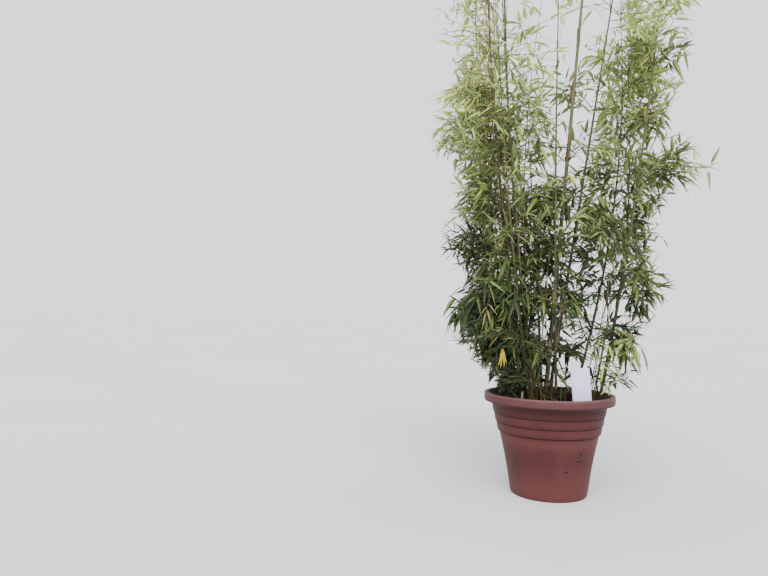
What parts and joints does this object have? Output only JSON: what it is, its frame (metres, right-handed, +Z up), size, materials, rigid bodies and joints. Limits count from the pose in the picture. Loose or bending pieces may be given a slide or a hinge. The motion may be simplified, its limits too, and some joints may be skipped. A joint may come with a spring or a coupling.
{
  "type": "potted bamboo",
  "caption": "Clump of thin bamboo culms with a tall airy crown, growing in a round plastic planter with a rolled rim and stepped bands, with a bare card in the soil.",
  "frame": {"origin": "centre of the pot's flat underside", "axes": "+Z up along the pot's axis; -Y is the side that the plant is seen from, with +X to its right"},
  "size_m": [0.8569, 0.7989, 2.2778],
  "materials": {
    "pot": "matt, dusty",
    "soil": "rough, crumbly",
    "card": "satin",
    "culm": "smooth, satin",
    "foliage": "satin"
  },
  "bodies": {
    "root": {"card": "card", "culm_back": "culm", "culm_brown": "culm", "culm_front": "culm", "culm_left_front": "culm", "culm_left_inner": "culm", "culm_left_outer": "culm", "culm_left_tall": "culm", "culm_left_thin": "culm", "culm_middle": "culm", "culm_middle_thin": "culm", "culm_right_back": "culm", "culm_right_low": "culm", "culm_right_tall": "culm", "leaves_back_1": "foliage", "leaves_back_2": "foliage", "leaves_back_3": "foliage", "leaves_back_4": "foliage", "leaves_back_tip": "foliage", "leaves_brown_1": "foliage", "leaves_brown_2": "foliage", "leaves_brown_tip": "foliage", "leaves_front_1": "foliage", "leaves_front_tip": "foliage", "leaves_left_front_1": "foliage", "leaves_left_front_tip": "foliage", "leaves_left_inner_1": "foliage", "leaves_left_inner_2": "foliage", "leaves_left_inner_3": "foliage", "leaves_left_inner_tip": "foliage", "leaves_left_outer_1": "foliage", "leaves_left_outer_2": "foliage", "leaves_left_outer_3": "foliage", "leaves_left_outer_tip": "foliage", "leaves_left_tall_tip": "foliage", "leaves_left_thin_tip": "foliage", "leaves_middle_1": "foliage", "leaves_middle_2": "foliage", "leaves_middle_3": "foliage", "leaves_middle_4": "foliage", "leaves_middle_thin_tip": "foliage", "leaves_middle_tip": "foliage", "leaves_right_back_1": "foliage", "leaves_right_back_2": "foliage", "leaves_right_back_3": "foliage", "leaves_right_back_4": "foliage", "leaves_right_back_tip": "foliage", "leaves_right_low_tip": "foliage", "leaves_right_tall_1": "foliage", "leaves_right_tall_2": "foliage", "leaves_right_tall_3": "foliage", "leaves_right_tall_4": "foliage", "leaves_right_tall_tip": "foliage", "pot": "pot", "soil": "soil"}
  },
  "joints": []
}
